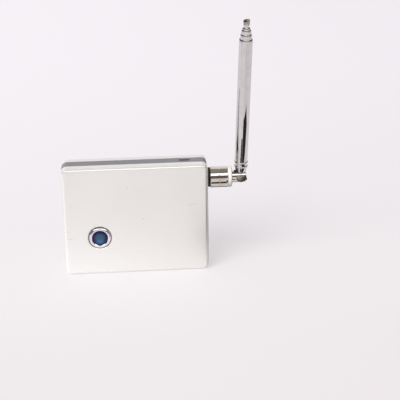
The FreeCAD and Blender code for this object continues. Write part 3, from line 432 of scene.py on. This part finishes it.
# %% [markdown]
# ## Turning a piece
# An operator acts on all that is selected, so everything is deselected first. Round parts are made the way
# a potter pulls a wall: one ring of edges is extruded from station to station and resized at each. A screw
# modifier on a drawn outline would do the same, but the stations read like a turner's drawing. The ring is
# pulled upright at the origin, closed on itself or in a pole, and moved to its place at the end.

# %% A turned piece
def deselect():
    bpy.ops.object.select_all(action="DESELECT")


def turned(name, stations, place, around=96, solid=False):
    """Extrudes a ring through (height, radius) stations in mm: a closed wall, or a solid with a pole."""
    deselect()
    height, radius = stations[0]
    fill = "NGON" if solid else "NOTHING"
    bpy.ops.mesh.primitive_circle_add(
        vertices=around, radius=radius * MM, location=(0, 0, height * MM), fill_type=fill)
    piece = bpy.context.object
    piece.name = name
    bpy.ops.object.transform_apply(location=True)
    bpy.ops.object.mode_set(mode="EDIT")
    bpy.ops.mesh.select_mode(type="EDGE")
    bpy.ops.mesh.select_all(action="SELECT")
    for (old_height, old_radius), (new_height, new_radius) in zip(stations, stations[1:]):
        rise = (0, 0, (new_height - old_height) * MM)
        bpy.ops.mesh.extrude_edges_move(TRANSFORM_OT_translate={"value": rise})
        if new_radius == 0:
            bpy.ops.mesh.merge(type="CENTER")
            break
        share = new_radius / old_radius
        bpy.ops.transform.resize(value=(share, share, 1), center_override=(0, 0, new_height * MM))
    bpy.ops.mesh.select_all(action="SELECT")
    bpy.ops.mesh.remove_doubles(threshold=0.0005 * MM)
    bpy.ops.mesh.normals_make_consistent(inside=False)
    bpy.ops.object.mode_set(mode="OBJECT")
    piece.matrix_world = place
    bpy.ops.object.transform_apply(location=True, rotation=True, scale=True)
    return piece


print("pieces can be turned")

# %% [markdown]
# ## Round edges
# Nothing real has a knife edge, and a broken edge is where metal and plastic catch a line of light. Large
# rounds belong in the stations, as an arc. Small ones come from a Bevel modifier on all the sharp edges,
# after which the rest is shaded smooth.

# %% Arcs and broken edges
SHARP_EDGE = math.radians(28.0)
SMOOTH_BELOW = math.radians(38.0)


def arc(height, radius, bend, start, end, steps=8):
    """Stations round a bend; 0 degrees points outwards and 90 up."""
    angles = [math.radians(start + (end - start) * step / steps) for step in range(steps + 1)]
    return [(height + bend * math.sin(angle), radius + bend * math.cos(angle)) for angle in angles]


def eased(piece, width, segments=3):
    """Rounds the sharp edges and shades the rest smooth."""
    deselect()
    piece.select_set(True)
    bpy.context.view_layer.objects.active = piece
    bevel = piece.modifiers.new("ease", "BEVEL")
    bevel.width = width * MM
    bevel.segments = segments
    bevel.limit_method = "ANGLE"
    bevel.angle_limit = SHARP_EDGE
    bpy.ops.object.modifier_apply(modifier="ease")
    bpy.ops.object.shade_smooth_by_angle(angle=SMOOTH_BELOW)
    return piece


print("edges can be eased")

# %% [markdown]
# ## Handing a piece over
# A new piece has to know two things besides its finish: the body that it moves with, and the CAD part
# that it stands for, which is then hidden.

# %% Dressing a piece
def dress(piece, finish, body, node):
    """Gives a piece its finish, its body and the CAD part it stands for."""
    piece.data.materials.clear()
    piece.data.materials.append(finish.material)
    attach(piece, body)
    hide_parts(node)
    print(piece.name, "faces:", len(piece.data.polygons))


print("pieces can be dressed")

# %% [markdown]
# ## The push-button's ring
# The button sits in a polished ring that stands just proud of the face: a rounded shoulder, a narrow flat
# land and a countersunk mouth. A plain torus would look soft; the land and the countersink are what catch
# two separate glints, so the ring is turned from its own outline.

# %% Polished ring
ring_front, ring_back, ring_radius = reach("button_bezel", button)
cap_front, cap_back, cap_size = reach("button_cap", button)
shoulder = 1.5
countersink = 0.4
wall = 1.55
seat = ring_front + 1.75
mouth = cap_size + 0.15
outline = arc(ring_front + shoulder, ring_radius - shoulder, shoulder, 0, -90, 16)
outline += [(ring_front, mouth + countersink), (ring_front + countersink, mouth), (ring_back, mouth)]
outline += [(ring_back, mouth + wall), (seat, mouth + wall), (seat, ring_radius), outline[0]]
ring = eased(turned("button_ring", outline, button, 128), 0.07)
dress(ring, mirror, "case", "button_bezel")

# %% [markdown]
# ## The push-button's seal
# A thin rubber seal keeps dust out of the hole round the ring. It shows only as a fine dark line, but that
# line is what sets the ring off from the pale paint. A line in the paint's finish would look the same from
# the front and wrong from the side, so the seal is turned like the ring.

# %% Rubber seal
seal_front, seal_back, seal_radius = reach("button_seal", button)
lip, lip_height = 0.1, seal_front + 0.08
outline = [(lip_height, ring_radius), (seal_front, ring_radius + lip), (seal_front, seal_radius - lip)]
outline += [(lip_height, seal_radius), (seal_back, seal_radius), (seal_back, ring_radius), outline[0]]
dress(eased(turned("seal_ring", outline, button, 96), 0.04), rubber, "case", "button_seal")

# %% [markdown]
# ## The push-button's cap
# The cap is a shallow lens: its height falls with the square of the radius, which is how a slice of a
# large ball looks. A flat disc would mirror the room all at once and flash or go dull as a whole.

# %% Lens-shaped cap
crown = 0.35
edge = cap_front + crown
outline = [(cap_back, cap_size), (edge + 0.1, cap_size)]
outline += [(edge - crown * (1 - (step / 10) ** 2), cap_size * step / 10) for step in range(9, 0, -1)]
outline.append((cap_front, 0))
dress(eased(turned("button_lens", outline, button, 96, solid=True), 0.12), lens, "button", "button_cap")

# %% [markdown]
# ## The connector's collar
# A black moulded collar sits against the case and carries the bayonet socket. It is a plain ring, so its
# two broken edges are all that tells it from a shadow. It needs a bore for the socket, which is why it is
# a turned wall and not a bevelled cylinder.

# %% Black collar
start, end, radius = reach("jack_collar", connector)
bore = min(reach("jack_body", connector)[2] + 0.02, radius - 1.2)
outline = [(start, bore), (start, radius - 0.25), (start + 0.3, radius), (end - 0.2, radius)]
outline += [(end, radius - 0.2), (end, bore), (start, bore)]
dress(eased(turned("jack_ring", outline, connector), 0.06), black, "case", "jack_collar")

# %% [markdown]
# ## The coupling nut
# The nickel nut turns on the connector. It is made of two sleeves pressed together, which leaves a fine
# groove round its middle, and its outer edges are broken so that they don't cut the fingers. The groove is
# part of the outline and not of the bump, so that the mesh has it too.

# %% Nickel nut
start, end, radius = reach("coupling_nut", connector)
broken = 0.3
groove, groove_width, groove_depth = start + 6.45, 0.2, 0.14
inner = radius - 1.9
rear_bore, rear_wall = 4.05, end - 1
outline = [(start, inner), (start, radius - broken), (start + broken, radius)]
outline += [(groove - groove_width, radius), (groove, radius - groove_depth), (groove + groove_width, radius)]
outline += [(end - broken, radius)]
outline += [(end, radius - broken), (end, rear_bore), (rear_wall, rear_bore), (rear_wall, inner), outline[0]]
dress(eased(turned("coupling_sleeve", outline, connector, 128), 0.06), nickel, "nut", "coupling_nut")

# %% [markdown]
# ## The pale ring
# An ivory ring keeps the antenna off the nut's metal. Its broad bevel faces the antenna; the bevel is an
# arc of stations, because the Bevel modifier would round the bore as well.

# %% Ivory ring
start, end, radius = reach("antenna_insulator", connector)
face, bevel, bore = end - 2.7, 0.9, 2.1
outline = [(face, bore), (face, radius - 0.1), (face + 0.1, radius)]
outline += arc(end - bevel, radius - bevel, bevel, 0, 78, 10)
outline += [(end, radius - 1.1), (end, bore), (face, bore)]
dress(eased(turned("ivory_ring", outline, connector, 128), 0.04), ivory, "case", "antenna_insulator")

# %% [markdown]
# ## The rivet
# The elbow turns on a rivet. Its two heads are low domes spread over the milled flats, and a dome mirrors
# the whole table in one small spot, which is why it looks darker and browner than the flat round it. A dark
# ring is painted in the seam at the heads' rim: partly grime, partly painted shade where the head meets the
# elbow.

# %% Rivet
low, high, radius = reach("elbow_pin", pin)
dome_rise, shaft = 0.45, 1.25
dome = [(low + dome_rise * (step / 8) ** 2, radius * step / 8) for step in range(1, 9)]
outline = dome + [(low + dome_rise + 0.03, shaft), (high - dome_rise - 0.03, shaft)]
outline += [(high + low - height, size) for height, size in reversed(dome)] + [(high, 0)]
# painted shade and grime: a dark ring in the seam where the rivet's head meets the elbow
seam_grime_and_shade = brass.between(brass.distance(pivot), (radius - 0.75) * MM, (radius - 0.3) * MM)
brass.cover(seam_grime_and_shade * 0.85, (0.045, 0.038, 0.030))
rivet = eased(turned("elbow_rivet", outline, pin, 64, solid=True), 0.03)
dress(rivet, brass, "swivel", "elbow_pin")

# %% [markdown]
# ## Draw lines, grime and painted shade on the tubes
# Drawing a tube through a die leaves lines along it. The mast leans, and a Mapping node scales before it
# turns, so the lines are measured along and across the mast's own axis. Behind each mouth a dark ring is
# painted: partly grime that the next tube wipes off as it slides, partly painted shade standing for the dark
# reflections at the mouths' sides, which is why it is darkest at the sides.

# %% Lines, grime and painted shade
lengthwise, crosswise, inwards = mast.col[2].xyz, mast.col[0].xyz, mast.col[1].xyz
along = chrome.along(lengthwise, pivot)
across = chrome.along(crosswise, pivot)
through = chrome.along(inwards, pivot)
fine = {"X": across * 520.0, "Y": through * 520.0, "Z": along * 5.0}
drawn = chrome.noise(1.0, 2.0, chrome.add("CombineXYZ", "Vector", None, fine))
chrome.cover(chrome.between(drawn, 0.46, 0.62, 0.0, 0.5), (0.54, 0.525, 0.52))
# grime and painted shade: a dark ring behind each mouth, darkest at the sides like the mouths' dark
# reflections
grime_and_shade = 0.0
for number in (1, 2, 3, 4):
    mouth = (reach("mast_tube_" + str(number), mast)[1] - 0.4) * MM
    grime_and_shade = chrome.between((along - mouth).size(), 0.25 * MM, 0.50 * MM, 1.0, 0.0) + grime_and_shade
edges = chrome.between(across.size(), 0.9 * MM, 3.0 * MM, 0.3, 1.0)
chrome.cover(grime_and_shade * edges * 0.9, (0.075, 0.070, 0.075))
print("lines along and grime at", number, "mouths")

# %% [markdown]
# ## The antenna's tubes
# Four drawn tubes slide in one another. Each mouth is spun inwards in a quarter round until it grips the
# next tube: that round is what makes the dark bows at each mouth's sides. A flat end with a small bevel
# was the other way, and it looked like plain cut pipe. Each tube keeps its own bore.

# %% Tubes with rolled mouths
wall, clearance, gap = 0.4, 0.05, 0.12
roll, lip = 1.35, 1.0
step, step_width, step_depth = 1.5, 0.08, 0.07
bow = [math.radians(15 * part) for part in range(7)]
owners = ("mast", "section_2", "section_3", "section_4")
inner_tubes = ("mast_tube_2", "mast_tube_3", "mast_tube_4", "tip_rod")
for number, (body, following) in enumerate(zip(owners, inner_tubes), 1):
    node = "mast_tube_" + str(number)
    bottom, top, radius = reach(node, mast)
    throat = reach(following, mast)[2] + clearance
    spun = radius - throat - gap - step_width
    outline = [(bottom, radius - wall), (bottom, radius), (top - step, radius)]
    outline.append((top - step + step_width, radius - step_depth))
    outline += [(top - roll + roll * math.sin(turn), throat + gap + spun * math.cos(turn)) for turn in bow]
    outline += [(top, throat), (top - lip, throat), (top - lip, radius - wall), (bottom, radius - wall)]
    tube = eased(turned("tube_" + str(number), outline, mast, 96), 0.03, 2)
    dress(tube, chrome, body, node)

# %% [markdown]
# ## The foot
# The foot is one machined piece with three forms: a turned part with two beads, a round tongue that sits
# on the elbow's pin, and a neck between them. Each is modelled by itself and then joined, since no single
# outline could be turned round two axes.

# %% Turned part and tongue
waist, bead, bead_heights = 4.15, 0.65, (8.6, 11.9)
start, start_radius, cone_end = 4.5, 3.8, 7.2
shoulder, spigot, foot_top = 12.6, 4.1, 16.4
outline = [(start, start_radius - 0.1), (start + 0.08, start_radius), (cone_end, waist)]
for height in bead_heights:
    outline += arc(height, waist, bead, -88, 88, 12)
outline += [(shoulder, waist), (shoulder, spigot), (foot_top, spigot), (foot_top, 3.5), (foot_top, 0)]
foot = eased(turned("antenna_foot", outline, mast, 96, solid=True), 0.05)
half, eye, tongue_radius = 1.49, 1.3, 3.9
outline = [(-half, tongue_radius - 0.15), (0.1 - half, tongue_radius), (half - 0.1, tongue_radius)]
outline += [(half, tongue_radius - 0.15), (half, eye), (-half, eye), outline[0]]
tongue = eased(turned("tongue", outline, pin, 64), 0.05)
print("tongue is", 2 * half, "mm thick")

# %% [markdown]
# The neck starts as a cube, is scaled to its size, set down in the mast's place and eased. Joining keeps
# the name of the active object, which is the turned part.

# %% Neck, and all three joined
deselect()
bpy.ops.mesh.primitive_cube_add(size=1.0)
neck = bpy.context.object
neck.scale = Vector((6.0, 2 * half, 4.4)) * MM
neck.location = (0, 0, 4.8 * MM)
bpy.ops.object.transform_apply(location=True, rotation=True, scale=True)
neck.matrix_world = mast
bpy.ops.object.transform_apply(location=True, rotation=True, scale=True)
eased(neck, 0.1)
deselect()
for part in (foot, tongue, neck):
    part.select_set(True)
bpy.context.view_layer.objects.active = foot
bpy.ops.object.join()
dress(foot, chrome, "mast", "mast_foot")

# %% [markdown]
# ## The last rod and the tip
# The last section is a solid rod, and on its end sits a short button to pull the mast out by. The button's
# end is cut at a slant. The slant is cut with a bisect, which also closes the end; a boolean would need a
# second object for the same cut.

# %% Rod and tip
bottom, top, radius = reach("tip_rod", mast)
outline = [(bottom, radius), (top - 0.3, radius), (top, radius - 0.3), (top, 0)]
dress(eased(turned("last_rod", outline, mast, 48, solid=True), 0.05), chrome, "tip", "tip_rod")
bottom, top, radius = reach("tip_cap", mast)
under, broken, spare = 1.65, 0.25, 2
outline = [(bottom, under), (bottom, radius - broken), (bottom + broken, radius)]
outline += [(top + spare, radius), (top + spare, 0)]
tip = turned("tip_button", outline, mast, 64, solid=True)
slant = math.radians(9.0)
normal = mast.to_3x3() @ Vector((-math.sin(slant), 0, math.cos(slant)))
corner = mast @ (Vector((radius, 0, top - 0.05)) * MM)
bpy.ops.object.mode_set(mode="EDIT")
bpy.ops.mesh.select_all(action="SELECT")
bpy.ops.mesh.bisect(plane_co=corner, plane_no=normal, use_fill=True, clear_outer=True)
bpy.ops.object.mode_set(mode="OBJECT")
dress(eased(tip, 0.18), tip_metal, "tip", "tip_cap")

# %% [markdown]
# ## Dark and pale patches on the tip
# The tip is painted darker just under the slanted edge, most at the left, and paler lower down in the
# middle. Both masks are measured down from the slanted plane.

# %% Dark band under the edge and pale patch below
below = 0.0 - tip_metal.along(normal, corner)
inset = tip_metal.axis("X") - corner.x
leftward = tip_metal.between(inset, -3.4 * MM, -0.6 * MM, 1.0, 0.2)
middle = tip_metal.between((inset + 2.3 * MM).size(), 0.3 * MM, 1.3 * MM, 1.0, 0.0)
# a dark band painted just under the slanted edge, most at the left
dark_band = tip_metal.between(below, 0.3 * MM, 0.7 * MM, 1.0, 0.0) * leftward
# a paler patch painted lower down in the middle
pale_patch = tip_metal.between(below, 1.7 * MM, 2.7 * MM) * middle
tip_metal.cover(pale_patch * 0.8, (0.78, 0.75, 0.69))
tip_metal.cover(dark_band, (0.010, 0.010, 0.008))
print("tip finish has", len(tip_metal.tree.nodes), "nodes")

# %% [markdown]
# ## Camera
# The camera stands a little to the left of the case and looks down on it at about 21 degrees with a long
# lens, so that the edges stay nearly parallel. It is turned a hair clockwise, as when held by hand.

# %% Camera
camera_data = bpy.data.cameras.new("camera")
camera_data.lens = 98.6
camera_data.clip_start = 0.05
camera_data.clip_end = 60.0
camera = bpy.data.objects.new("camera", camera_data)
bpy.context.scene.collection.objects.link(camera)
camera.location = Vector((-7.27, -710.2, 329.8)) * MM
aim = Vector((45.0, 0.0, 48.3)) * MM
look = (aim - camera.location).to_track_quat("-Z", "Y")
roll = Matrix.Rotation(math.radians(-0.75), 3, "Z").to_quaternion()
camera.rotation_mode = "QUATERNION"
camera.rotation_quaternion = look @ roll
bpy.context.scene.camera = camera
bpy.context.scene.view_settings.view_transform = "Standard"
print("camera", round(camera.location.length, 3), "m from the origin")

# %% [markdown]
# ## Floor
# A wide pale sheet, warm white in front and faintly lilac further back. Round the case a lighter band is
# painted in as painted light, and towards the right the sheet is painted darker and greyer as painted shade.
# For the camera and for mirrors more than half of it glows at its own colour, which keeps the object's
# shadow but thins it, as on a lit sheet. The light that it throws back up is weaker to the right of the
# case, where the sheet was in shade: that keeps the case's right edge darker than its face.

# %% The sheet's colour
sheet = Finish("floor_sheet", Roughness=0.9, Specular_IOR_Level=0.1)
far = sheet.between(sheet.axis("Y"), -0.3, 0.6)
near = sheet.between(sheet.axis("Y"), -0.14, -0.03) * sheet.between(sheet.axis("Y"), -0.01, 0.09, 1.0, 0.0)
rightward = sheet.between(sheet.axis("X"), -0.25, 0.45)
paper = sheet.mix(far, (0.918, 0.865, 0.880), (0.990, 0.950, 1.000))
# painted light: a lighter band on the sheet round the case
paper = sheet.mix(near * 0.35, paper, (0.99, 0.955, 0.97))
# painted shade: the sheet darker and greyer towards the right, away from the light
paper = sheet.mix(rightward * 0.12, paper, (0.52, 0.39, 0.42))
shaded = sheet.between(sheet.axis("X"), 0.052, 0.075) * sheet.add("LightPath", "Is Diffuse Ray")
sheet.set("Base Color", sheet.mix(shaded, (0.80, 0.795, 0.80), (0.20, 0.19, 0.19)))
print("sheet:", len(sheet.tree.nodes), "nodes")

# %% [markdown]
# The glow is an Emission shader that is mixed with the plain one. The mix is linked by hand, because its
# two shader sockets share one name.

# %% The sheet itself
deselect()
bpy.ops.mesh.primitive_plane_add(size=16.0, location=(0.0, 3.0, 0.0))
floor = bpy.context.object
floor.name = "floor"
bpy.ops.object.transform_apply(location=True)
seen_or_mirrored = sheet.add("LightPath", "Is Camera Ray") + sheet.add("LightPath", "Is Glossy Ray")
glow = sheet.add("Emission", "Emission", None, {"Color": paper, "Strength": 1.03})
plain = Wire(sheet.tree, sheet.shader.outputs["BSDF"])
both = sheet.add("MixShader", "Shader", None, {0: seen_or_mirrored * 0.66, 1: plain, 2: glow})
plug(sheet.tree, sheet.tree.nodes["Material Output"].inputs["Surface"], both)
floor.data.materials.append(sheet.material)
print("floor", round(floor.dimensions.x, 1), "m wide")

# %% [markdown]
# ## The room
# What metal mirrors decides how it looks. A studio has a long softbox above the camera, a darker room
# behind it and a pale sweep at the back, and it is those bands that make chrome look like chrome. So glossy
# rays see that room. It is built here and shown to them in the next step.

# %% What mirrors see
world = bpy.data.worlds.new("studio")
bpy.context.scene.world = world
world.use_nodes = True
sky = Nodes(world.node_tree, "Generated")
up = sky.axis("Z")
front = -1.0 * sky.axis("Y")
right = sky.axis("X")
room = sky.mix(sky.between(front, -0.55, -0.15), (0.93, 0.90, 0.93), (0.16, 0.145, 0.135))
room = sky.mix(sky.between(up, 0.84, 0.94), room, (0.32, 0.29, 0.26))
walls = sky.between(right.size(), 0.55, 0.85) * sky.between(up, 0.02, 0.12)
room = sky.mix(walls, room, (0.07, 0.062, 0.060))
tall = sky.between(up, 0.48, 0.56) * sky.between(up, 0.78, 0.86, 1.0, 0.0)
softbox = tall * sky.between(front, 0.2, 0.34)
room = sky.mix(softbox, room, (2.4, 2.35, 2.3))
print("room:", len(sky.tree.nodes), "nodes")

# %% [markdown]
# ## The soft light
# Matt surfaces only need plain soft light, stronger from the front and weak from the right, where the
# room is dark. The camera itself sees a pale backdrop beyond the floor.

# %% World
facing = sky.mix(sky.between(front, -0.3, 0.8), (0.50, 0.49, 0.505), (1.82, 1.79, 1.82))
soft = sky.mix(sky.between(right, -0.95, 0.5), facing, (0.03, 0.03, 0.032))
lit = sky.mix(sky.add("LightPath", "Is Glossy Ray"), soft, room)
seen = sky.mix(sky.add("LightPath", "Is Camera Ray"), lit, (0.90, 0.87, 0.90))
background = sky.tree.nodes["Background"]
plug(sky.tree, background.inputs["Color"], seen)
background.inputs["Strength"].default_value = 1.0
print("world:", len(sky.tree.nodes), "nodes")

# %% [markdown]
# ## Key light
# One large lamp at the upper left gives the case its soft shadow. A sun lamp with a wide angle lights as
# evenly as a big softbox far away. Mirrors don't see it, since the room above has its own softbox.

# %% Key light
key_data = bpy.data.lights.new("key", "SUN")
key_data.energy = 2.6
key_data.angle = math.radians(38.0)
key = bpy.data.objects.new("key", key_data)
bpy.context.scene.collection.objects.link(key)
key.location = (-0.60, -0.75, 0.85)
key.rotation_mode = "QUATERNION"
key.rotation_quaternion = (-key.location).to_track_quat("-Z", "Y")
key.visible_glossy = False
print("key light", key_data.energy, "W/m2")

# %% [markdown]
# ## Flags
# Three dark flags lie on the table where only mirrors see them. They put the dark stripes in the lower
# half of the mast and under the connector that chrome needs to read as chrome, and one at the back right
# darkens what the case's side mirrors.

# %% Flags
dark = Finish("flag_black", Roughness=0.8, Base_Color=(0.012, 0.011, 0.012, 1.0))
flags = (
    ("flag_block", (0.123, -0.056, 0.017), (0.084, 0.056, 0.034)),
    ("flag_bar", (0.063, -0.057, 0.004), (0.028, 0.034, 0.008)),
    ("flag_side", (0.069, 0.075, 0.005), (0.034, 0.090, 0.010)),
)
for name, centre, size in flags:
    deselect()
    bpy.ops.mesh.primitive_cube_add(size=1.0, location=centre)
    flag = bpy.context.object
    flag.name = name
    flag.scale = size
    bpy.ops.object.transform_apply(location=True, rotation=True, scale=True)
    flag.data.materials.append(dark.material)
    flag.visible_camera = False
    flag.visible_diffuse = False
    flag.visible_shadow = False
    flag.visible_transmission = False
print("flags placed:", len(flags))
